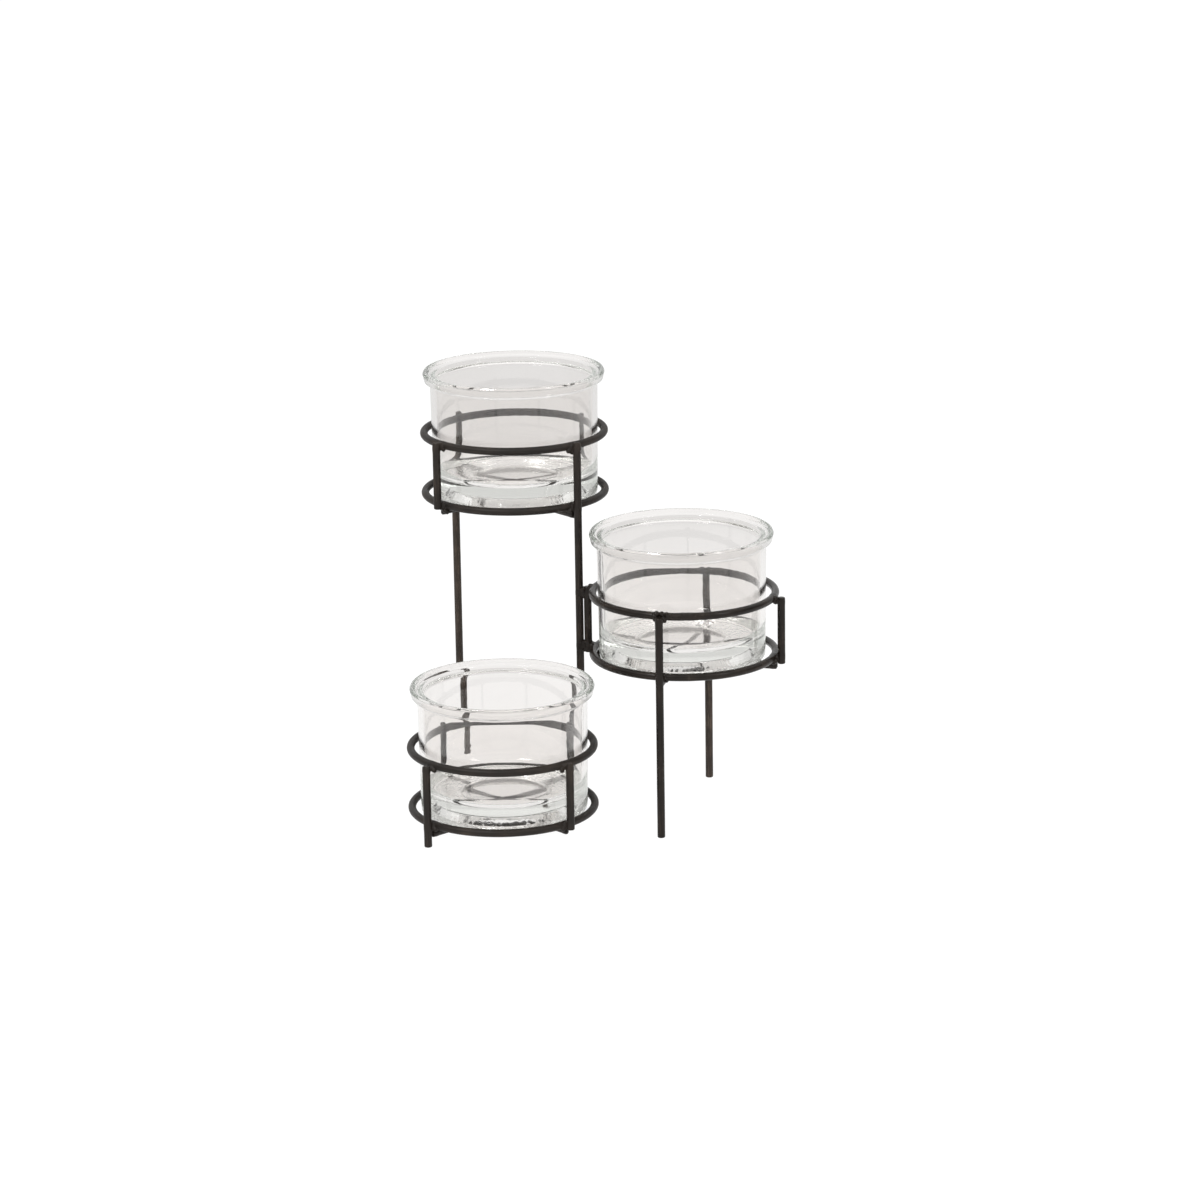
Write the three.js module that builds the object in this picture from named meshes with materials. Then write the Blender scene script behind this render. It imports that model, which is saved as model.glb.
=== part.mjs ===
// A three-tier wire rack for votive candles: three round holders of black steel rod, each with a loose
// clear glass cup standing in it. One long leg, the pole, is shared: it is a corner upright of the high
// holder, and the mid and low holders are welded to it, so that the tiers step up around it.
//
// Millimetres, +Z up. The front is -Y. The origin is under the middle of the rack, on the surface that
// the five feet stand on. Rods that are welded together stop a small gap short of each other.

import * as THREE from "three";

// ---- Driving dimensions ----

const ROD = 4.8; // diameter of the hoops, the uprights and the through bars
const THIN_ROD = 3.2; // diameter of the half bars
const GAP = 0.3; // left between two solids that touch
const ROD_SIDES = 12;
const ROD_CHAMFER = 0.5; // broken edge at a rod's cut ends

const HOOP_RADIUS = 55.6; // to the middle of the rod
const HOOP_RISE = 37.6; // from a holder's lower hoop up to its upper hoop
const HOOP_SIDES = 8;
const HOOP_STEPS = 40;

const POST_LENGTH = 41.7; // a short upright

// The cup, from the surface that it stands on.
const CUP = {
  heelRadius: 48, // the edge of the underside
  baseRadius: 50.8, // outside, just above the rounded heel
  bodyRadius: 51.6, // outside, under the lip
  puntRadius: 29, // the hollow in the underside
  puntDraft: 2.4, // how far the hollow's side leans in
  puntDepth: 5.3,
  floor: 14, // thickness of the solid base
  floorRadius: 39.5, // the flat of the inside floor
  innerRadius: 47.5, // inside wall, just above the floor
  mouthRadius: 48, // the edge of the mouth
  mouthHeight: 76.3,
  ledgeRadius: 52, // the outer edge of the nearly level step inside the lip
  ledgeHeight: 77,
  lipStart: 71, // where the lip leaves the body
  flareRadius: 55.4, // the flare's curve bends towards this ring
  flareHeight: 72,
  lipRadius: 56, // the widest ring of the lip
  lipWidest: 77.7,
  crestRadius: 55, // the highest ring of the lip
  height: 78.9,
  steps: 40,
};

// ---- Worked out from them ----

const rodRadius = ROD / 2;
const uprightRadius = HOOP_RADIUS + ROD + GAP; // uprights stand outside the hoops
const neighbour = ROD + GAP; // between the middles of two rods welded side by side
const barReach = uprightRadius - rodRadius - GAP; // the cross bars butt against the uprights
const cupDrop = rodRadius; // the cup stands on the cross bars

const radians = THREE.MathUtils.degToRad;

// The point at a distance and a heading from another, seen from above. Heading 0 is +X, 90 is +Y.
function along(from, distance, heading) {
  const turn = radians(heading);
  return new THREE.Vector2(from.x + distance * Math.cos(turn), from.y + distance * Math.sin(turn));
}

// Headings from the pole: each holder's middle lies straight behind its upright at the pole.
const pole = new THREE.Vector2(0, 0);
const HIGH_HEADING = 129.7;
const MID_HEADING = -15.5;
const LOW_HEADING = -137.5;

const midPost = along(pole, neighbour, -2);
const lowPost = along(pole, neighbour, -129.7);

// Each holder: its middle in plan, the height of its lower hoop, how far its legs and posts end above
// the middle of its upper hoop, where its loose cup stands off the middle, and its four uprights, listed
// from the one at the pole round to the left as seen from above. A leg reaches the ground, a post doesn't.
const HOLDERS = [
  {
    name: "high",
    middle: along(pole, uprightRadius, HIGH_HEADING),
    heading: HIGH_HEADING,
    lower: 187,
    legTop: 2.8,
    postTop: 2.3,
    cupShift: 0.4,
    uprights: ["pole_leg", "right_post", "back_leg", "left_post"],
  },
  {
    name: "mid",
    middle: along(midPost, uprightRadius, MID_HEADING),
    heading: MID_HEADING,
    lower: 99.4,
    legTop: 0.4,
    postTop: 0.3,
    cupShift: -1.2,
    uprights: ["pole_post", "front_leg", "right_post", "back_leg"],
  },
  {
    name: "low",
    middle: along(lowPost, uprightRadius, LOW_HEADING),
    heading: LOW_HEADING,
    lower: 12.8,
    legTop: 0.3,
    postTop: 2,
    cupShift: 0.6,
    uprights: ["pole_post", "left_post", "front_leg", "right_post"],
  },
];

// ---- Materials ----

const blackPaint = new THREE.MeshStandardMaterial({ color: 0x3d3834, roughness: 0.45, metalness: 0.4 });
const clearGlass = new THREE.MeshStandardMaterial({
  color: 0xf4f6f3,
  roughness: 0.03,
  metalness: 0,
  transparent: true,
  opacity: 0.35,
});

// ---- Pieces ----

function piece(name, geometry, material) {
  const mesh = new THREE.Mesh(geometry, material);
  mesh.name = name;
  return mesh;
}

// A straight rod along +Z from the origin, with broken edges at both ends.
function rodGeometry(diameter, length) {
  const radius = diameter / 2;
  const profile = [
    new THREE.Vector2(0, 0),
    new THREE.Vector2(radius - ROD_CHAMFER, 0),
    new THREE.Vector2(radius, ROD_CHAMFER),
    new THREE.Vector2(radius, length - ROD_CHAMFER),
    new THREE.Vector2(radius - ROD_CHAMFER, length),
    new THREE.Vector2(0, length),
  ];
  return new THREE.LatheGeometry(profile, ROD_SIDES).rotateX(Math.PI / 2);
}

// An upright at a place in plan, from one height to another.
function upright(name, place, bottom, top) {
  const rod = piece(name, rodGeometry(ROD, top - bottom), blackPaint);
  rod.position.set(place.x, place.y, bottom);
  return rod;
}

function hoop(name, middle, height) {
  const geometry = new THREE.TorusGeometry(HOOP_RADIUS, rodRadius, HOOP_SIDES, HOOP_STEPS);
  const ring = piece(name, geometry, blackPaint);
  ring.position.set(middle.x, middle.y, height);
  return ring;
}

// A cross bar under a lower hoop, from one distance to another along a heading out of its middle.
function crossBar(name, diameter, middle, lower, heading, start, end) {
  const bar = piece(name, rodGeometry(diameter, end - start).rotateY(Math.PI / 2), blackPaint);
  const from = along(middle, start, heading);
  bar.position.set(from.x, from.y, lower - rodRadius - GAP - diameter / 2);
  bar.rotation.z = radians(heading);
  return bar;
}

// The cup's outline from the middle of the underside, out, up over the lip and down to the inside floor.
function cupProfile() {
  const c = CUP;
  const heel = c.baseRadius - c.heelRadius;
  const cove = c.innerRadius - c.floorRadius;
  const line = new THREE.Path();
  line.moveTo(0, c.puntDepth);
  line.lineTo(c.puntRadius - c.puntDraft, c.puntDepth);
  line.lineTo(c.puntRadius, 0);
  line.lineTo(c.heelRadius, 0);
  line.quadraticCurveTo(c.baseRadius, 0, c.baseRadius, heel);
  line.lineTo(c.bodyRadius, c.lipStart);
  line.quadraticCurveTo(c.flareRadius, c.flareHeight, c.lipRadius, c.lipWidest);
  line.lineTo(c.crestRadius, c.height);
  line.lineTo(c.ledgeRadius, c.ledgeHeight);
  line.lineTo(c.mouthRadius, c.mouthHeight);
  line.lineTo(c.innerRadius, c.floor + cove);
  line.quadraticCurveTo(c.innerRadius, c.floor, c.floorRadius, c.floor);
  line.lineTo(0, c.floor);
  return line.getPoints(4);
}

function cup(name, middle, bottom) {
  const geometry = new THREE.LatheGeometry(cupProfile(), CUP.steps).rotateX(Math.PI / 2);
  const glass = piece(name, geometry, clearGlass);
  glass.position.set(middle.x, middle.y, bottom);
  return glass;
}

// ---- Assembly ----

// One holder: two hoops, four uprights outside them, and under the lower hoop one through bar with two
// thin half bars butted to its middle. The cup stands on the bars.
function holder({ name, middle, heading, lower, legTop, postTop, cupShift, uprights }) {
  const group = new THREE.Group();
  const upper = lower + HOOP_RISE;
  group.add(hoop(`${name}_lower_hoop`, middle, lower), hoop(`${name}_upper_hoop`, middle, upper));

  uprights.forEach((kind, i) => {
    const place = along(middle, uprightRadius, heading + 180 + 90 * i);
    const isLeg = kind.endsWith("_leg");
    const top = upper + (isLeg ? legTop : postTop);
    group.add(upright(`${name}_${kind}`, place, isLeg ? 0 : top - POST_LENGTH, top));
  });

  const start = rodRadius + GAP;
  group.add(crossBar(`${name}_cross_bar`, ROD, middle, lower, heading, -barReach, barReach));
  group.add(crossBar(`${name}_half_bar_a`, THIN_ROD, middle, lower, heading + 90, start, barReach));
  group.add(crossBar(`${name}_half_bar_b`, THIN_ROD, middle, lower, heading - 90, start, barReach));
  group.add(cup(`${name}_glass_cup`, along(middle, cupShift, 0), lower - cupDrop));
  return group;
}

const rack = new THREE.Group();
rack.name = "votive_candle_rack";
rack.add(...HOLDERS.map(holder));

// Move the rack so that the origin is under the middle of its box.
const box = new THREE.Box3().setFromObject(rack);
const middle = box.getCenter(new THREE.Vector3());
rack.position.set(-middle.x, -middle.y, 0);

export default rack;
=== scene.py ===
"""The looks of a three-tier votive candle rack: painted steel rod, weld beads and pressed-glass cups.

Metres, +Z up, the front towards -Y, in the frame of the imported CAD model. Every part's place and size comes
from the boxes of its CAD nodes. The objects sit at the origin, so their Object coordinates are the model's.
"""

import math
import random

import bmesh
import bpy
from mathutils import Matrix, Vector, noise


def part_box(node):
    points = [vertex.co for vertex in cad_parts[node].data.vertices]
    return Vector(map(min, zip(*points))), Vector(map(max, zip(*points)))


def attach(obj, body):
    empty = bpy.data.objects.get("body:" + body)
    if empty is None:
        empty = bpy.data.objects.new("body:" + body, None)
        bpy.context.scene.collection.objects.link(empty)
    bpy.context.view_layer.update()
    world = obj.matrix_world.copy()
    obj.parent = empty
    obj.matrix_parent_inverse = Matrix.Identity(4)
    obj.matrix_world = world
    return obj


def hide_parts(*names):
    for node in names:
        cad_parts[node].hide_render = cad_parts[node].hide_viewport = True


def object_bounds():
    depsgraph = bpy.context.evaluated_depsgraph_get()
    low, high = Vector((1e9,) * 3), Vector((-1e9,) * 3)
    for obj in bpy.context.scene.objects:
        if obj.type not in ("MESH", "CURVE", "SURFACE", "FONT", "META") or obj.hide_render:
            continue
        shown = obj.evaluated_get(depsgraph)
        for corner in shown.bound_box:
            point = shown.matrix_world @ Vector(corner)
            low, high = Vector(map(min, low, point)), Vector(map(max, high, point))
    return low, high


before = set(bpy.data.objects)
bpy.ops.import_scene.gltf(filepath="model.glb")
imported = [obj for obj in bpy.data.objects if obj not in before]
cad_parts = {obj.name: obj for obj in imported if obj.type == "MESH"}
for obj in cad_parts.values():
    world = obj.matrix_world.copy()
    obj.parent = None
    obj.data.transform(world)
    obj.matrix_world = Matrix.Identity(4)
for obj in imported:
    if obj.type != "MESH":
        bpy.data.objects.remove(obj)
cad_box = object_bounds()

MM = 0.001

# ---- Driving sizes that the CAD boxes don't give ----

ROD_END = 0.7 * MM  # rounding of a rod's cut ends
ROD_SIDES = 48
ROD_STEP = 3 * MM  # between the rings of points along a rod
HOOP_STEPS = 240
RIPPLE = 0.07 * MM  # how far the paint's surface wanders
RIPPLE_LENGTH = 5 * MM
WELD_VOXEL = 0.36 * MM
WELD_SMOOTHING = 7
BEAD_SKIN = 0.16 * MM  # how far a bead's sleeve stands proud of the rods it joins
BEAD_TAPER = 0.5 * MM  # how far below the rod's surface a sleeve's ends lie
BEAD_REACH = 5.2 * MM  # how far a bead runs along the hoop and the upright, either way
BAR_BEAD = 5.5 * MM  # how far it runs along a cross bar from its end
HUB_BEAD = 5 * MM  # and along the through bar from the crossing
POLE_BEAD = 5 * MM  # length of a bead between a short post and the pole
POLE_BEAD_INSET = 4 * MM  # from the post's end to that bead's middle

CUP_STEPS = 480
CUP_HEEL = 48 * MM  # the edge of the underside
CUP_BASE = 50.8 * MM  # outside, above the rounded heel
CUP_BODY = 51.6 * MM  # outside, under the lip
PUNT_RADIUS = 29 * MM  # the hollow in the underside
PUNT_DRAFT = 2.4 * MM
PUNT_DEPTH = 5.3 * MM
CUP_FLOOR = 14 * MM
COVE = 8 * MM
CUP_INSIDE = 47.5 * MM
LIP_START = 7.8 * MM  # how far below the top the lip leaves the body
# The lip's corners, from the flare under it round to the mouth: how far each is in from the widest ring, how
# far down from the top, and its rounding.
LIP = (
    (1.0 * MM, 6.1 * MM, 1.5 * MM),
    (0.0, 1.6 * MM, 1.0 * MM),
    (0.9 * MM, 0.0, 0.8 * MM),
    (2.2 * MM, 0.0, 1.8 * MM),
    (4.0 * MM, 1.9 * MM, 3.5 * MM),
    (8.0 * MM, 2.4 * MM, 0.7 * MM),
)
CORNER_STEPS = 6  # points round each rounded corner of the cup's outline
CLOSE_STEP = 0.5 * MM  # between points where the glass is stippled
WIDE_STEP = 2.4 * MM  # and elsewhere
STIPPLE = 0.45 * MM  # depth of the pits in the underside
STIPPLE_LENGTH = 1.3 * MM
SLOW_WAVE = 0.03 * MM  # how far the inside wall wanders
FINE_WAVE = 0.005 * MM
CLEAR_FROST = 0.07  # roughness of the hollow's ceiling
FROST = 0.12  # roughness of the underside's ring and of the punt's wall

LIGHT_BOUNCES = 64  # light runs round inside the thick glass of the rims
FLOOR_SEEN = 0.98  # the floor's glow to the camera
FLOOR_NEAR = 0.89  # its glow behind glass, near the rack
FLOOR_FAR = 0.73  # and farther behind
SKY_LOW = 0.78  # the surroundings' glow at eye level
SKY_HIGH = 1.15  # and above
SKY_SIDES = 0.4  # how much of it is left far to the left and right
LAMP_TARGET = (0, 0, 0.1)
LAMPS = {  # place, size and watts
    "key": ((-1.1, -1.3, 2.0), (0.6, 0.6), 20),
    "fill": ((1.5, -1.2, 1.4), (0.25, 1.2), 5),
}
CAMERA_TARGET = Vector((0.0126, 0, 0.1283))  # from the foot of the pole
CAMERA_DISTANCE = 2.528
CAMERA_RISE = math.radians(15.45)
CAMERA_ROLL = math.radians(-0.9)
CAMERA_LENS = 123.9

HOLDERS = {
    "high": ("pole_leg", "right_post", "back_leg", "left_post"),
    "mid": ("pole_post", "front_leg", "right_post", "back_leg"),
    "low": ("pole_post", "left_post", "front_leg", "right_post"),
}

# Lumps of weld that stand out beside the usual ring of bead, on the hoop named: the upright, then for each
# lump its distance round the hoop from the upright (to the right as seen from outside), its height from the
# hoop's middle, its distance out from the hoop's middle line and its radius, in millimetres.
LUMPS = {
    "high_upper_hoop": {
        "pole_leg": [(-3.4, -2.3, 1.5, 1.9), (-1.5, -3.2, 2.4, 1.6)],
        "left_post": [(2.6, -2.2, 1.6, 1.3)],
    },
    "high_lower_hoop": {
        "pole_leg": [(-3.2, -2.2, 1.8, 1.6)],
        "left_post": [(3.2, -2.6, 2.2, 1.9), (4.6, -3.4, 1.6, 1.3)],
    },
    "mid_upper_hoop": {
        "front_leg": [
            (-4.2, 1.5, 1.3, 1.5),
            (-2.2, 2.1, 2.4, 1.7),
            (1.2, 2.3, 2.9, 1.7),
            (4.0, 1.7, 1.6, 1.6),
            (6.4, 1.4, 1.2, 1.3),
            (-2.9, -2.0, 2.1, 1.4),
            (2.8, -2.2, 2.2, 1.3),
        ],
        "right_post": [(-3.5, 0.6, 2.2, 1.7), (-4.6, -1.2, 1.6, 1.2), (-2.6, -2.6, 2.2, 1.4)],
        "pole_post": [(3.0, 0.8, 2.2, 1.9), (5.0, 1.2, 1.2, 1.4), (2.4, -2.5, 2.0, 1.4)],
        "back_leg": [(2.6, 1.6, 2.2, 1.8), (-2.4, 1.2, 2.2, 1.6)],
    },
    "mid_lower_hoop": {
        "front_leg": [(3.6, -1.6, 2.0, 1.5), (-3.0, 1.2, 1.8, 1.2)],
        "right_post": [(-3.4, -1.6, 2.0, 1.8), (-5.2, -2.2, 1.2, 1.4)],
        "pole_post": [(3.6, 1.0, 1.8, 1.9), (5.4, -0.8, 1.2, 1.5)],
        "back_leg": [(3.0, -1.6, 2.0, 1.4)],
    },
    "low_upper_hoop": {
        "front_leg": [(3.4, -2.2, 1.8, 1.8), (-2.8, -1.8, 1.8, 1.1)],
        "right_post": [(-3.4, -2.2, 1.8, 1.7), (2.6, 1.2, 2.0, 1.1)],
        "left_post": [(2.6, 1.2, 2.0, 1.2)],
    },
    "low_lower_hoop": {
        "front_leg": [(3.2, -1.8, 1.8, 1.6)],
        "right_post": [(-3.2, -1.8, 2.0, 1.6), (2.8, -1.6, 1.8, 1.2)],
    },
}


# ---- Reading the frame ----


def middle(node):
    low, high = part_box(node)
    return (low + high) / 2


def hoop_facts(node):
    """The middle, the radius to the rod's middle line and the rod's radius of a hoop."""
    low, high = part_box(node)
    rod = (high.z - low.z) / 2
    return (low + high) / 2, (high.x - low.x) / 2 - rod, rod


def rod_facts(node):
    """The bottom middle, the top middle and the radius of an upright."""
    low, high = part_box(node)
    axis = (low + high) / 2
    return Vector((axis.x, axis.y, low.z)), Vector((axis.x, axis.y, high.z)), (high.x - low.x) / 2


# ---- Mesh helpers ----


def new_object(name, mesh, material, body, nodes=()):
    """Adds a shown piece with its material, on its CAD body, standing for the CAD nodes named."""
    mesh.materials.append(material)
    mesh.shade_smooth()
    piece = bpy.data.objects.new(name, mesh)
    bpy.context.scene.collection.objects.link(piece)
    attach(piece, body)
    if nodes:
        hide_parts(*nodes)


def turned_mesh(name, outline, steps, matrix):
    """An outline of (radius, height) points, from axis to axis, turned about Z. UVs are metres."""
    vertices = [(0.0, 0.0, outline[0][1])]
    for radius, height in outline[1:-1]:
        for i in range(steps):
            turn = 2 * math.pi * i / steps
            vertices.append((radius * math.cos(turn), radius * math.sin(turn), height))
    vertices.append((0.0, 0.0, outline[-1][1]))
    last = len(vertices) - 1
    rings = len(outline) - 2
    faces = []
    for i in range(steps):
        faces.append((0, 1 + (i + 1) % steps, 1 + i))
    for ring in range(rings - 1):
        below = 1 + ring * steps
        for i in range(steps):
            j = (i + 1) % steps
            faces.append((below + i, below + j, below + steps + j, below + steps + i))
    top = 1 + (rings - 1) * steps
    for i in range(steps):
        faces.append((last, top + i, top + (i + 1) % steps))
    mesh = bpy.data.meshes.new(name)
    mesh.from_pydata(vertices, [], faces)
    along = [0.0]
    for (r0, z0), (r1, z1) in zip(outline, outline[1:]):
        along.append(along[-1] + math.hypot(r1 - r0, z1 - z0))
    widest = max(radius for radius, height in outline)
    lay_uvs(mesh, lambda v: along[0 if v == 0 else -1 if v == last else 1 + (v - 1) // steps], widest)
    mesh.transform(matrix)
    return mesh


def lay_uvs(mesh, along, radius):
    """UVs in metres: the way along a turned piece, and the way round it at its widest."""
    layer = mesh.uv_layers.new(name="Metres")
    for polygon in mesh.polygons:
        turns = []
        for loop in polygon.loop_indices:
            v = mesh.loops[loop].vertex_index
            co = mesh.vertices[v].co
            flat = math.hypot(co.x, co.y) > 1e-9
            turns.append(math.atan2(co.y, co.x) if flat else None)
        known = [t for t in turns if t is not None]
        if known and max(known) - min(known) > math.pi:
            turns = [t + 2 * math.pi if t is not None and t < 0 else t for t in turns]
            known = [t for t in turns if t is not None]
        centre = sum(known) / len(known) if known else 0.0
        for loop, turn in zip(polygon.loop_indices, turns):
            v = mesh.loops[loop].vertex_index
            layer.data[loop].uv = (along(v), radius * (centre if turn is None else turn))


def ring_mesh(name, centre, radius, rod):
    """A hoop of round rod lying level. UVs are metres along and round the rod."""
    vertices = []
    for i in range(HOOP_STEPS):
        turn = 2 * math.pi * i / HOOP_STEPS
        for j in range(ROD_SIDES):
            around = 2 * math.pi * j / ROD_SIDES
            reach = radius + rod * math.cos(around)
            vertices.append((reach * math.cos(turn), reach * math.sin(turn), rod * math.sin(around)))
    faces = []
    places = []
    for i in range(HOOP_STEPS):
        for j in range(ROD_SIDES):
            i2 = (i + 1) % HOOP_STEPS
            j2 = (j + 1) % ROD_SIDES
            faces.append((i * ROD_SIDES + j, i2 * ROD_SIDES + j, i2 * ROD_SIDES + j2, i * ROD_SIDES + j2))
            places += [(i, j), (i + 1, j), (i + 1, j + 1), (i, j + 1)]
    mesh = bpy.data.meshes.new(name)
    mesh.from_pydata(vertices, [], faces)
    layer = mesh.uv_layers.new(name="Metres")
    round_step = 2 * math.pi * rod / ROD_SIDES
    along_step = 2 * math.pi * radius / HOOP_STEPS
    for loop, (i, j) in enumerate(places):
        layer.data[loop].uv = (i * along_step, j * round_step)
    mesh.transform(Matrix.Translation(centre))
    return mesh


def ripple(mesh, seed):
    """Moves each point a little inwards along its normal, by smooth noise, so that highlights waver."""
    offset = Vector((seed * 1.7, seed * 0.9, seed * 2.3))
    moved = []
    for vertex in mesh.vertices:
        shift = RIPPLE * (noise.noise(vertex.co / RIPPLE_LENGTH + offset) - 1) / 2
        moved.append(vertex.co + vertex.normal * shift)
    for vertex, place in zip(mesh.vertices, moved):
        vertex.co = place


def arc_points(centre, radius, start, end, count):
    """Points on an arc in the plane of an outline, without its first point."""
    return [
        (
            centre[0] + radius * math.cos(start + (end - start) * i / count),
            centre[1] + radius * math.sin(start + (end - start) * i / count),
        )
        for i in range(1, count + 1)
    ]


def rod_outline(radius, length):
    """A straight rod's outline with rounded ends, from the bottom up."""
    quarter = math.pi / 2
    inner = radius - ROD_END
    outline = [(0.0, 0.0), (inner * 0.5, 0.0), (inner, 0.0)]
    outline += arc_points((inner, ROD_END), ROD_END, -quarter, 0, 5)
    straight = length - 2 * ROD_END
    count = max(2, round(straight / ROD_STEP))
    outline += [(radius, ROD_END + straight * i / count) for i in range(1, count)]
    outline.append((radius, length - ROD_END))
    outline += arc_points((inner, length - ROD_END), ROD_END, 0, quarter, 5)
    outline += [(inner * 0.5, length), (0.0, length)]
    return outline


# ---- Materials ----


def add_node(tree, kind, **settings):
    """A node with its settings, and its inputs by name with underscores for spaces."""
    made = tree.nodes.new(kind)
    for key, value in settings.items():
        name = key.replace("_", " ")
        if name in made.inputs:
            made.inputs[name].default_value = value
        else:
            setattr(made, key, value)
    return made


def colour_ramp(tree, source, *stops):
    ramp = tree.nodes.new("ShaderNodeValToRGB")
    elements = ramp.color_ramp.elements
    while len(elements) < len(stops):
        elements.new(0.5)
    for element, (place, colour) in zip(elements, stops):
        element.position = place
        element.color = (*colour, 1)
    tree.links.new(source, ramp.inputs["Fac"])
    return ramp


def value_range(tree, source, low, high):
    """Spreads a noise value over a range."""
    spread = add_node(tree, "ShaderNodeMapRange", From_Min=0.3, From_Max=0.7, To_Min=low, To_Max=high)
    tree.links.new(source, spread.inputs["Value"])
    return spread


def black_paint(name, gloss, shade):
    """Black enamel sprayed on drawn steel rod: warm streaks along the rod, orange peel and dusty patches.

    gloss is 0 for the duller coats and 1 for a coat that ran smooth, and shade scales the colour; the highest
    shade gives a paler copy for the back legs, which paints the light falling on them from behind.
    """
    material = bpy.data.materials.new(name)
    material.use_nodes = True
    tree = material.node_tree
    link = tree.links.new
    surface = tree.nodes["Principled BSDF"]
    surface.inputs["Metallic"].default_value = 0.0
    surface.inputs["IOR"].default_value = 1.5
    surface.inputs["Specular IOR Level"].default_value = 0.26 - 0.06 * gloss

    place = add_node(tree, "ShaderNodeTexCoord")
    metres = add_node(tree, "ShaderNodeUVMap", uv_map="Metres")
    stretch = add_node(tree, "ShaderNodeMapping")
    stretch.inputs["Scale"].default_value = (60, 900, 1)
    link(metres.outputs["UV"], stretch.inputs["Vector"])
    streaks = add_node(tree, "ShaderNodeTexNoise", Scale=1.0, Detail=4.0, Roughness=0.6)
    link(stretch.outputs["Vector"], streaks.inputs["Vector"])
    patches = add_node(tree, "ShaderNodeTexNoise", Scale=70.0, Detail=5.0, Roughness=0.55)
    link(place.outputs["Object"], patches.inputs["Vector"])

    both = add_node(tree, "ShaderNodeMix", data_type="FLOAT")
    both.inputs["Factor"].default_value = 0.5
    link(streaks.outputs["Fac"], both.inputs["A"])
    link(patches.outputs["Fac"], both.inputs["B"])
    # The colour scales with shade; on the back legs a high shade paints light falling on them from behind.
    colour = colour_ramp(
        tree,
        both.outputs["Result"],
        (0.36, tuple(shade * c for c in (0.0085, 0.0066, 0.0052))),
        (0.52, tuple(shade * c for c in (0.0165, 0.0122, 0.0094))),
        (0.68, tuple(shade * c for c in (0.040, 0.029, 0.0215))),
    )
    link(colour.outputs["Color"], surface.inputs["Base Color"])

    dull = 0.48 - 0.28 * gloss
    rough = value_range(tree, patches.outputs["Fac"], dull - 0.06, dull + 0.12)
    link(rough.outputs["Result"], surface.inputs["Roughness"])

    peel = add_node(tree, "ShaderNodeTexNoise", Scale=1500.0, Detail=2.0, Roughness=0.5)
    link(place.outputs["Object"], peel.inputs["Vector"])
    heights = add_node(tree, "ShaderNodeMix", data_type="FLOAT")
    heights.inputs["Factor"].default_value = 0.35
    link(peel.outputs["Fac"], heights.inputs["A"])
    link(streaks.outputs["Fac"], heights.inputs["B"])
    bump = add_node(tree, "ShaderNodeBump", Strength=0.35, Distance=0.0002 - 0.00008 * gloss)
    link(heights.outputs["Result"], bump.inputs["Height"])
    link(bump.outputs["Normal"], surface.inputs["Normal"])
    return material


def clear_glass():
    """Pressed soda-lime glass: slightly warm, a little green where it is thick, and frosted underneath."""
    material = bpy.data.materials.new("clear_glass")
    material.use_nodes = True
    tree = material.node_tree
    link = tree.links.new
    surface = tree.nodes["Principled BSDF"]
    surface.inputs["Transmission Weight"].default_value = 1.0
    surface.inputs["IOR"].default_value = 1.5

    metres = add_node(tree, "ShaderNodeUVMap", uv_map="Metres")
    split = add_node(tree, "ShaderNodeSeparateXYZ")
    link(metres.outputs["UV"], split.inputs["Vector"])
    wall = PUNT_RADIUS - PUNT_DRAFT
    heel = wall + math.hypot(PUNT_DEPTH, PUNT_DRAFT) + CUP_HEEL - PUNT_RADIUS
    frost = colour_ramp(
        tree,
        split.outputs["X"],
        (0.0, (CLEAR_FROST,) * 3),
        (wall - 0.5 * MM, (CLEAR_FROST,) * 3),
        (wall + 0.5 * MM, (FROST,) * 3),
        (heel - 1 * MM, (FROST,) * 3),
        (heel + 1 * MM, (0.0,) * 3),
    )
    link(frost.outputs["Color"], surface.inputs["Roughness"])

    place = add_node(tree, "ShaderNodeTexCoord")
    tint = add_node(tree, "ShaderNodeTexNoise", Scale=25.0, Detail=2.0)
    link(place.outputs["Object"], tint.inputs["Vector"])
    colour = colour_ramp(
        tree,
        tint.outputs["Fac"],
        (0.3, (0.915, 0.892, 0.876)),
        (0.7, (0.940, 0.920, 0.905)),
    )
    link(colour.outputs["Color"], surface.inputs["Base Color"])
    depth = add_node(tree, "ShaderNodeVolumeAbsorption", Color=(0.35, 0.52, 0.38, 1), Density=1.6)
    link(depth.outputs["Volume"], tree.nodes["Material Output"].inputs["Volume"])

    waves = add_node(tree, "ShaderNodeTexNoise", Scale=320.0, Detail=1.5)
    link(place.outputs["Object"], waves.inputs["Vector"])
    bump = add_node(tree, "ShaderNodeBump", Strength=0.04, Distance=0.0002)
    link(waves.outputs["Fac"], bump.inputs["Height"])
    link(bump.outputs["Normal"], surface.inputs["Normal"])
    return material


# ---- Rods and hoops ----


def make_upright(node, material, seed):
    bottom, top, radius = rod_facts(node)
    outline = rod_outline(radius, top.z - bottom.z)
    mesh = turned_mesh(node + "_rod", outline, ROD_SIDES, Matrix.Translation(bottom))
    ripple(mesh, seed)
    for vertex in mesh.vertices:
        vertex.co.z = min(max(vertex.co.z, bottom.z), top.z)
    new_object(node + "_rod", mesh, material, "frame", [node])


def make_hoop(node, material, seed):
    centre, radius, rod = hoop_facts(node)
    mesh = ring_mesh(node + "_rod", centre, radius, rod)
    ripple(mesh, seed)
    new_object(node + "_rod", mesh, material, "frame", [node])


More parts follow.
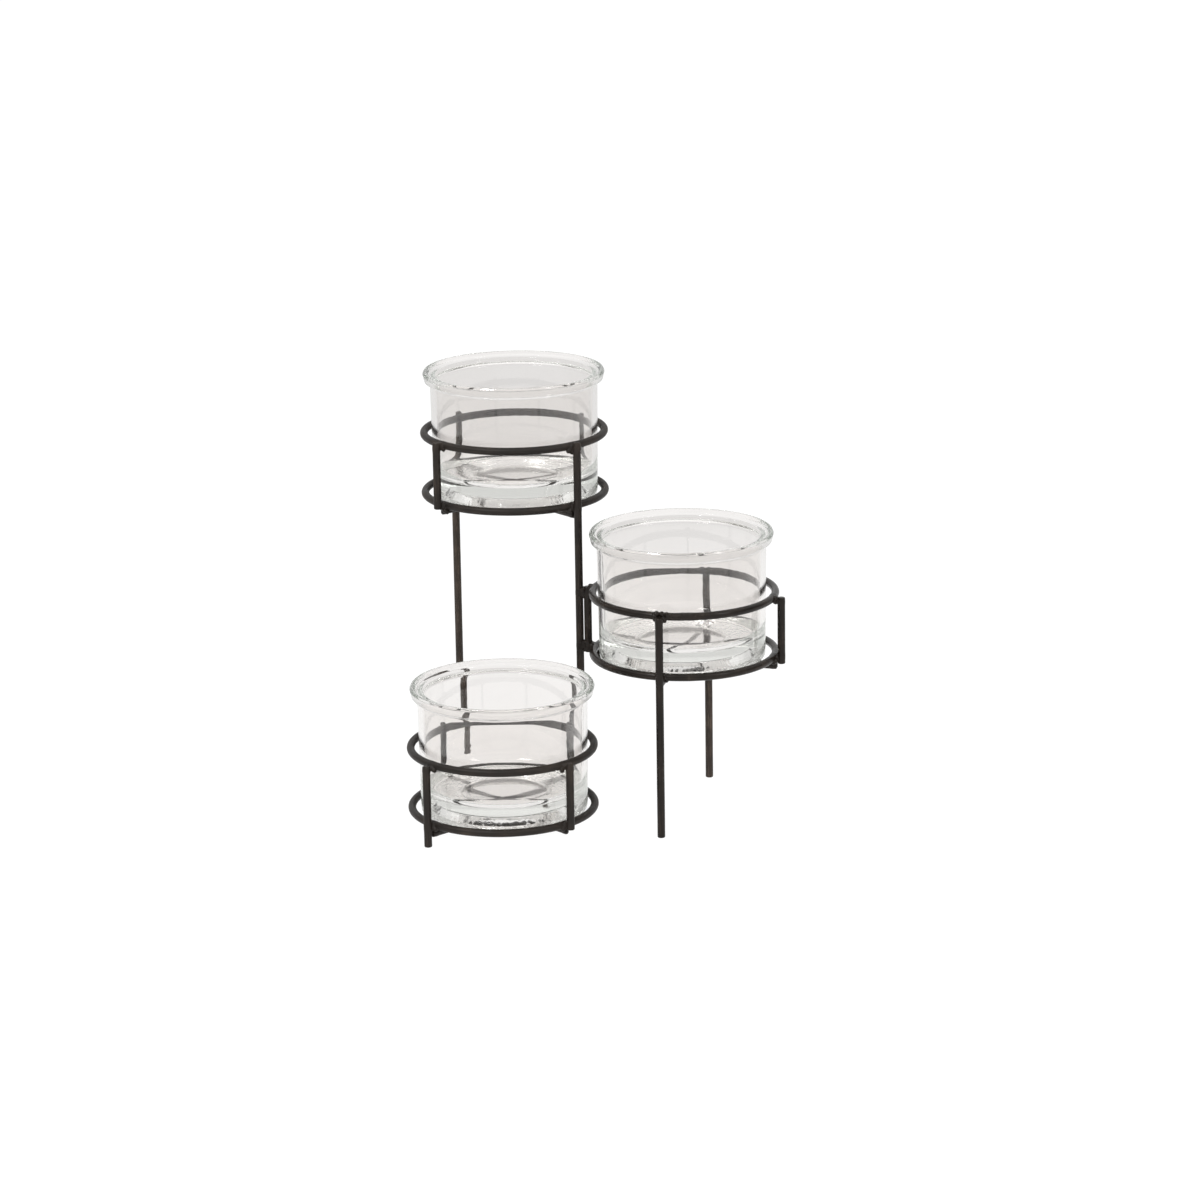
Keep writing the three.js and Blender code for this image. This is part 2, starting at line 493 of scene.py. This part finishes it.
def bar_ends(holder):
    """Each cross bar of a holder: its node, its two ends and its radius.

    The through bar lies level between two opposite uprights, and the half bars between the other two. Each
    bar's middle and length come from its own box.
    """
    uprights = [middle(f"{holder}_{kind}") for kind in HOLDERS[holder]]
    found = []
    for node, first, second in (
        (f"{holder}_cross_bar", uprights[0], uprights[2]),
        (f"{holder}_half_bar_a", uprights[3], uprights[1]),
        (f"{holder}_half_bar_b", uprights[1], uprights[3]),
    ):
        low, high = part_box(node)
        centre = (low + high) / 2
        radius = (high.z - low.z) / 2
        way = second - first
        way.z = 0
        way.normalize()
        size = high - low
        # A level rod's box: its length times the heading plus the rod's width across it, on each axis.
        length = (size.x - 2 * radius * abs(way.y)) / abs(way.x)
        if abs(way.y) > abs(way.x):
            length = (size.y - 2 * radius * abs(way.x)) / abs(way.y)
        found.append((node, centre - way * length / 2, centre + way * length / 2, radius))
    return found


def make_bar(node, start, end, radius, material, seed):
    way = end - start
    turn = Vector((0, 0, 1)).rotation_difference(way).to_matrix().to_4x4()
    outline = rod_outline(radius, way.length)
    mesh = turned_mesh(node + "_rod", outline, ROD_SIDES, Matrix.Translation(start) @ turn)
    ripple(mesh, seed)
    new_object(node + "_rod", mesh, material, "frame", [node])


# ---- Weld beads ----


def add_sleeve(bm, points, radius):
    """A closed tube along a few points, a little thicker than its rod in the middle and tapering into it."""
    count = len(points)
    sides = 20
    rings = []
    for k, point in enumerate(points):
        way = (points[min(k + 1, count - 1)] - points[max(k - 1, 0)]).normalized()
        across = way.cross(Vector((0, 0, 1)))
        if across.length < 0.1:
            across = way.cross(Vector((1, 0, 0)))
        across.normalize()
        up = across.cross(way)
        share = k / (count - 1)
        size = radius - BEAD_TAPER + (BEAD_TAPER + BEAD_SKIN) * math.sin(math.pi * share) ** 0.5
        ring = []
        for i in range(sides):
            turn = 2 * math.pi * i / sides
            ring.append(bm.verts.new(point + size * (across * math.cos(turn) + up * math.sin(turn))))
        rings.append(ring)
    for one, two in zip(rings, rings[1:]):
        for i in range(sides):
            j = (i + 1) % sides
            bm.faces.new((one[i], one[j], two[j], two[i]))
    bm.faces.new(rings[0][::-1])
    bm.faces.new(rings[-1])


def add_lump(bm, centre, radius, rng):
    """A lumpy drop of weld."""
    made = bmesh.ops.create_icosphere(bm, subdivisions=2, radius=radius)
    offset = Vector([rng.uniform(0, 50) for _ in range(3)])
    stretch = Vector([rng.uniform(0.85, 1.2) for _ in range(3)])
    for vertex in made["verts"]:
        swell = 1 + 0.22 * noise.noise(vertex.co / (1.1 * MM) + offset)
        vertex.co = centre + vertex.co * stretch * swell


def arc_sleeve(centre, radius, heading, half_length):
    """Points along a hoop either side of a heading."""
    points = []
    for k in range(9):
        turn = heading + half_length / radius * (k / 4 - 1)
        points.append(centre + Vector((radius * math.cos(turn), radius * math.sin(turn), 0)))
    return points


def straight_sleeve(start, end):
    return [start.lerp(end, k / 8) for k in range(9)]


def weld_at_hoop(bm, hoop, upright, lumps, rng):
    """The bead where an upright touches a hoop from outside."""
    centre, radius, rod = hoop_facts(hoop)
    bottom, top, thick = rod_facts(upright)
    out = Vector((bottom.x - centre.x, bottom.y - centre.y, 0)).normalized()
    heading = math.atan2(out.y, out.x)
    right = Vector((-out.y, out.x, 0))
    add_sleeve(bm, arc_sleeve(centre, radius, heading, BEAD_REACH), rod)
    axis = Vector((bottom.x, bottom.y, centre.z))
    low = Vector((axis.x, axis.y, max(centre.z - BEAD_REACH, bottom.z + ROD_END)))
    high = Vector((axis.x, axis.y, min(centre.z + BEAD_REACH, top.z - ROD_END / 2)))
    add_sleeve(bm, straight_sleeve(low, high), thick)
    touch = centre + out * (radius + rod)
    for k in range(10):
        turn = 2 * math.pi * k / 10 + rng.uniform(-0.2, 0.2)
        reach = rng.uniform(1.5, 2.1) * MM
        spot = touch + reach * (right * math.cos(turn) + Vector((0, 0, 1)) * math.sin(turn))
        spot.z = min(spot.z, top.z - 1.2 * MM)
        add_lump(bm, spot, rng.uniform(0.95, 1.25) * MM, rng)
    for around, height, outward, size in lumps:
        spot = centre + out * (radius + outward * MM) + right * around * MM
        spot += Vector((0, 0, height * MM))
        add_lump(bm, spot, size * MM, rng)


def weld_at_bar_end(bm, hoop, start, end, radius, rng):
    """The bead where a cross bar's end meets an upright, under a hoop."""
    centre, hoop_radius, rod = hoop_facts(hoop)
    way = (end - start).normalized()
    side = way.cross(Vector((0, 0, 1)))
    add_sleeve(bm, straight_sleeve(end - way * BAR_BEAD, end), radius)
    for k in range(4):
        spot = end - way * rng.uniform(0.2, 1.6) * MM + side * rng.uniform(-1.6, 1.6) * MM
        spot.z += rng.uniform(-0.5, 0.9) * MM
        add_lump(bm, spot, rng.uniform(0.9, 1.3) * MM, rng)
    under = centre + (end - centre).normalized() * hoop_radius
    under = Vector((under.x, under.y, centre.z - rod))
    for k in (-1, 1):
        add_lump(bm, under + side * k * 1.3 * MM, 1.15 * MM, rng)


def weld_at_crossing(bm, bars, rng):
    """The bead in the middle, where the half bars butt against the through bar."""
    _, start, end, radius = bars[0]
    thin = bars[1][3]
    centre = (start + end) / 2
    along = (end - start).normalized()
    across = along.cross(Vector((0, 0, 1)))
    add_sleeve(bm, straight_sleeve(centre - along * HUB_BEAD, centre + along * HUB_BEAD), radius)
    for way in (across, -across):
        add_sleeve(bm, straight_sleeve(centre + way * 1.5 * MM, centre + way * 6.5 * MM), thin)
        for k in range(4):
            spot = centre + way * rng.uniform(2.2, 3.2) * MM + along * rng.uniform(-2.2, 2.2) * MM
            spot.z += rng.uniform(-0.9, 0.3) * MM
            add_lump(bm, spot, rng.uniform(0.9, 1.3) * MM, rng)


def weld_side_by_side(bm, post, pole, rng):
    """The beads between a short post and the pole beside it, near the post's two ends."""
    bottom, top, radius = rod_facts(post)
    pole_bottom, _, pole_radius = rod_facts(pole)
    between = (bottom + pole_bottom) / 2
    way = Vector((pole_bottom.x - bottom.x, pole_bottom.y - bottom.y, 0)).normalized()
    side = Vector((-way.y, way.x, 0))
    for height in (bottom.z + POLE_BEAD_INSET, top.z - POLE_BEAD_INSET):
        low = height - POLE_BEAD / 2
        for axis, thick in ((bottom, radius), (pole_bottom, pole_radius)):
            foot = Vector((axis.x, axis.y, max(low - 1 * MM, bottom.z + ROD_END)))
            head = Vector((axis.x, axis.y, min(low + POLE_BEAD + 1 * MM, top.z - ROD_END / 2)))
            add_sleeve(bm, straight_sleeve(foot, head), thick)
        for face in (-1, 1):
            for k in range(7):
                spot = Vector((between.x, between.y, low + POLE_BEAD * k / 6))
                spot += side * face * rng.uniform(1.0, 1.7) * MM
                add_lump(bm, spot, rng.uniform(0.95, 1.35) * MM, rng)


def skin_over(name, bm):
    """One smooth closed skin over all the overlapping lumps, kept inside the box of the CAD model."""
    rough = bpy.data.meshes.new(name)
    bm.to_mesh(rough)
    bm.free()
    maker = bpy.data.objects.new(name + ".maker", rough)
    bpy.context.scene.collection.objects.link(maker)
    remesh = maker.modifiers.new("Remesh", "REMESH")
    remesh.mode = "VOXEL"
    remesh.voxel_size = WELD_VOXEL
    smooth = maker.modifiers.new("Smooth", "SMOOTH")
    smooth.factor = 0.5
    smooth.iterations = WELD_SMOOTHING
    shown = maker.evaluated_get(bpy.context.evaluated_depsgraph_get())
    mesh = bpy.data.meshes.new_from_object(shown)
    mesh.name = name
    bpy.data.objects.remove(maker)
    bpy.data.meshes.remove(rough)
    low, high = cad_box
    for vertex in mesh.vertices:
        vertex.co = Vector([min(max(c, a), b) for c, a, b in zip(vertex.co, low, high)])
    return mesh


def make_welds(holder, bars, material, seed):
    rng = random.Random(seed)
    bm = bmesh.new()
    for hoop in (f"{holder}_upper_hoop", f"{holder}_lower_hoop"):
        for kind in HOLDERS[holder]:
            lumps = LUMPS.get(hoop, {}).get(kind, [])
            weld_at_hoop(bm, hoop, f"{holder}_{kind}", lumps, rng)
    hoop = f"{holder}_lower_hoop"
    _, start, end, radius = bars[0]
    weld_at_bar_end(bm, hoop, start, end, radius, rng)
    weld_at_bar_end(bm, hoop, end, start, radius, rng)
    hub = (start + end) / 2
    for _, start, end, radius in bars[1:]:
        far = end if (end - hub).length > (start - hub).length else start
        near = start if far is end else end
        weld_at_bar_end(bm, hoop, near, far, radius, rng)
    weld_at_crossing(bm, bars, rng)
    name = f"{holder}_weld_beads"
    new_object(name, skin_over(name, bm), material, "frame")


def make_pole_welds(material, seed):
    """The mid and low holders' posts are welded to the pole."""
    rng = random.Random(seed)
    bm = bmesh.new()
    for post in ("mid_pole_post", "low_pole_post"):
        weld_side_by_side(bm, post, "high_pole_leg", rng)
    name = "pole_weld_beads"
    new_object(name, skin_over(name, bm), material, "frame")


# ---- Glass cups ----


def rounded(corners):
    """An outline through (radius, height, rounding) corners, with close points where it is stippled."""
    flat = [Vector((r, z)) for r, z, _ in corners]
    outline = [tuple(flat[0])]
    for k in range(1, len(flat)):
        here = flat[k]
        before = Vector(outline[-1])
        size = corners[k][2]
        if k == len(flat) - 1 or size == 0:
            stop, bend = here, []
        else:
            back = (flat[k - 1] - here).normalized()
            on = (flat[k + 1] - here).normalized()
            half = back.angle(on) / 2
            reach = size / math.tan(half)
            stop = here + back * reach
            leave = here + on * reach
            hub = here + (back + on).normalized() * (size / math.sin(half))
            first, last = stop - hub, leave - hub
            sweep = math.atan2(first.x * last.y - first.y * last.x, first.dot(last))
            heading = math.atan2(first.y, first.x)
            bend = arc_points(hub, size, heading, heading + sweep, CORNER_STEPS)
        run = (stop - before).length
        stippled = max(before.x, before.y) > PUNT_RADIUS - 2 * MM and max(before.y, stop.y) < CUP_FLOOR / 2
        count = max(1, math.ceil(run / (CLOSE_STEP if stippled else WIDE_STEP)))
        outline += [tuple(before.lerp(stop, i / count)) for i in range(1, count + 1)]
        outline += bend
    return outline


def cup_outline(rim_radius, height):
    """The cup from the middle of the underside, out, up over the lip and down to the inside floor."""
    corners = [
        (0.0, PUNT_DEPTH, 0),
        (PUNT_RADIUS - PUNT_DRAFT, PUNT_DEPTH, 0.8 * MM),
        (PUNT_RADIUS, 0.0, 0.7 * MM),
        (CUP_BASE - 0.15 * MM, 0.0, 2.8 * MM),
        (CUP_BODY, height - LIP_START, 1.5 * MM),
    ]
    corners += [(rim_radius - inwards, height - down, bend) for inwards, down, bend in LIP]
    corners += [(CUP_INSIDE, CUP_FLOOR, COVE), (0.0, CUP_FLOOR - 0.25 * MM, 0)]
    return rounded(corners)


def stipple(mesh, centre, bottom):
    """Pits in the bearing ring and in the punt's wall, all inwards."""
    for vertex in mesh.vertices:
        co = vertex.co
        reach = math.hypot(co.x - centre.x, co.y - centre.y)
        height = co.z - bottom
        on_ring = PUNT_RADIUS - 0.6 * MM < reach < CUP_HEEL and height < 1.0 * MM
        on_wall = PUNT_RADIUS - PUNT_DRAFT - 0.2 * MM < reach < PUNT_RADIUS and height < PUNT_DEPTH - 1 * MM
        if not (on_ring or on_wall):
            continue
        spots = noise.noise(co / STIPPLE_LENGTH)
        pit = STIPPLE * max(0.0, spots) * (1.2 if on_ring else 1.0)
        if on_ring:
            fade = min(1.0, (CUP_HEEL - reach) / (1.5 * MM))
            co.z += pit * fade
        else:
            out = Vector((co.x - centre.x, co.y - centre.y, 0)).normalized()
            vertex.co = co + out * pit


def waves(mesh, centre, bottom, seed):
    """The inside wall isn't true: slow waves and faint upright ripples left by the plunger."""
    offset = Vector((seed * 3.1, seed * 1.3, seed * 0.7))
    for vertex in mesh.vertices:
        co = vertex.co
        reach = math.hypot(co.x - centre.x, co.y - centre.y)
        height = co.z - bottom
        inside = CUP_FLOOR + COVE / 2 < height and reach < CUP_INSIDE + 1.7 * MM
        if not inside:
            continue
        out = Vector((co.x - centre.x, co.y - centre.y, 0)).normalized()
        slow = noise.noise(co / (14 * MM) + offset)
        fine = noise.noise(Vector((co.x / 2.4, co.y / 2.4, co.z / 7)) / MM + offset)
        vertex.co = co + out * (SLOW_WAVE * slow + FINE_WAVE * fine)


def make_cup(holder, material, seed):
    node = f"{holder}_glass_cup"
    low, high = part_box(node)
    centre = (low + high) / 2
    outline = cup_outline((high.x - low.x) / 2, high.z - low.z)
    place = Matrix.Translation((centre.x, centre.y, low.z))
    mesh = turned_mesh(f"{holder}_cup_glass", outline, CUP_STEPS, place)
    waves(mesh, centre, low.z, seed)
    stipple(mesh, centre, low.z)
    new_object(f"{holder}_cup_glass", mesh, material, f"{holder}_cup", [node])


# ---- Studio ----


def make_floor():
    """A pale floor, white to the camera and a paler or darker grey where it is seen through glass."""
    bpy.ops.mesh.primitive_plane_add(size=40, location=(0, 0, 0))
    floor = bpy.context.object
    floor.name = "studio_floor"
    material = bpy.data.materials.new("studio_floor")
    material.use_nodes = True
    tree = material.node_tree
    surface = tree.nodes["Principled BSDF"]
    surface.inputs["Base Color"].default_value = (0.08, 0.08, 0.08, 1)
    surface.inputs["Roughness"].default_value = 0.9
    surface.inputs["Specular IOR Level"].default_value = 0.0
    place = add_node(tree, "ShaderNodeTexCoord")
    split = add_node(tree, "ShaderNodeSeparateXYZ")
    tree.links.new(place.outputs["Object"], split.inputs["Vector"])
    glow = add_node(tree, "ShaderNodeMapRange", From_Min=0.35, From_Max=0.85)
    glow.inputs["To Min"].default_value = FLOOR_NEAR
    glow.inputs["To Max"].default_value = FLOOR_FAR
    tree.links.new(split.outputs["Y"], glow.inputs["Value"])
    path = add_node(tree, "ShaderNodeLightPath")
    seen = add_node(tree, "ShaderNodeMix", data_type="FLOAT")
    seen.inputs["B"].default_value = FLOOR_SEEN
    tree.links.new(path.outputs["Is Camera Ray"], seen.inputs["Factor"])
    tree.links.new(glow.outputs["Result"], seen.inputs["A"])
    surface.inputs["Emission Color"].default_value = (1, 1, 1, 1)
    tree.links.new(seen.outputs["Result"], surface.inputs["Emission Strength"])
    floor.data.materials.append(material)


def make_world():
    """Soft light all round, brighter above and dimmer far to the left and right, for the cups' edges."""
    world = bpy.data.worlds.new("studio")
    bpy.context.scene.world = world
    world.use_nodes = True
    tree = world.node_tree
    place = add_node(tree, "ShaderNodeTexCoord")
    split = add_node(tree, "ShaderNodeSeparateXYZ")
    tree.links.new(place.outputs["Generated"], split.inputs["Vector"])
    glow = add_node(tree, "ShaderNodeMapRange", From_Min=0.3, From_Max=0.75)
    glow.inputs["To Min"].default_value = SKY_LOW
    glow.inputs["To Max"].default_value = SKY_HIGH
    tree.links.new(split.outputs["Z"], glow.inputs["Value"])
    aside = add_node(tree, "ShaderNodeMath", operation="ABSOLUTE")
    tree.links.new(split.outputs["X"], aside.inputs[0])
    flags = add_node(tree, "ShaderNodeMapRange", From_Min=0.7, From_Max=0.95, To_Min=1.0)
    flags.inputs["To Max"].default_value = SKY_SIDES
    tree.links.new(aside.outputs["Value"], flags.inputs["Value"])
    both = add_node(tree, "ShaderNodeMath", operation="MULTIPLY")
    tree.links.new(glow.outputs["Result"], both.inputs[0])
    tree.links.new(flags.outputs["Result"], both.inputs[1])
    backdrop = tree.nodes["Background"]
    backdrop.inputs["Color"].default_value = (1, 1, 1, 1)
    tree.links.new(both.outputs["Value"], backdrop.inputs["Strength"])


def make_lamp(name, place, size, watts):
    data = bpy.data.lights.new(name, "AREA")
    data.shape = "RECTANGLE"
    data.size, data.size_y = size
    data.energy = watts
    lamp = bpy.data.objects.new(name, data)
    bpy.context.scene.collection.objects.link(lamp)
    lamp.location = place
    lamp.rotation_euler = (Vector(LAMP_TARGET) - Vector(place)).to_track_quat("-Z", "Y").to_euler()


def make_camera():
    """Level with a standing viewer a little above the rack, looking straight at its front."""
    pole = middle("high_pole_leg")
    target = Vector((pole.x, pole.y, 0)) + CAMERA_TARGET
    data = bpy.data.cameras.new("camera")
    data.lens = CAMERA_LENS
    data.sensor_width = 36
    data.clip_end = 100
    camera = bpy.data.objects.new("camera", data)
    bpy.context.scene.collection.objects.link(camera)
    way_back = Vector((0, -math.cos(CAMERA_RISE), math.sin(CAMERA_RISE)))
    camera.location = target + CAMERA_DISTANCE * way_back
    look = (target - camera.location).to_track_quat("-Z", "Y").to_matrix().to_4x4()
    camera.rotation_euler = (look @ Matrix.Rotation(CAMERA_ROLL, 4, "Z")).to_euler()
    bpy.context.scene.camera = camera


def make_studio():
    make_floor()
    make_world()
    for name, (place, size, watts) in LAMPS.items():
        make_lamp(name, place, size, watts)
    make_camera()
    scene = bpy.context.scene
    scene.view_settings.view_transform = "Standard"
    scene.cycles.max_bounces = LIGHT_BOUNCES
    scene.cycles.transmission_bounces = LIGHT_BOUNCES
    scene.cycles.glossy_bounces = LIGHT_BOUNCES


# ---- Putting it together ----


def make_rack():
    dull = black_paint("black_paint_dull", 0, 1.15)
    bright = black_paint("black_paint_bright", 1, 1.05)
    # A paler copy of the dull paint for the back legs, which paints the light falling on them from behind.
    thin = black_paint("black_paint_backlit", 0, 2.8)
    glass = clear_glass()
    for number, (holder, kinds) in enumerate(HOLDERS.items()):
        paint = bright if holder == "mid" else dull
        seed = 10 * number
        for kind in kinds:
            seed += 1
            # The back legs get the paler copy: painted light from behind.
            make_upright(f"{holder}_{kind}", thin if kind == "back_leg" else paint, seed)
        for hoop in ("upper_hoop", "lower_hoop"):
            seed += 1
            make_hoop(f"{holder}_{hoop}", paint, seed)
        bars = bar_ends(holder)
        for node, start, end, radius in bars:
            seed += 1
            make_bar(node, start, end, radius, paint, seed)
        make_welds(holder, bars, paint, seed)
        make_cup(holder, glass, number)
    make_pole_welds(bright, 41)


make_rack()
make_studio()
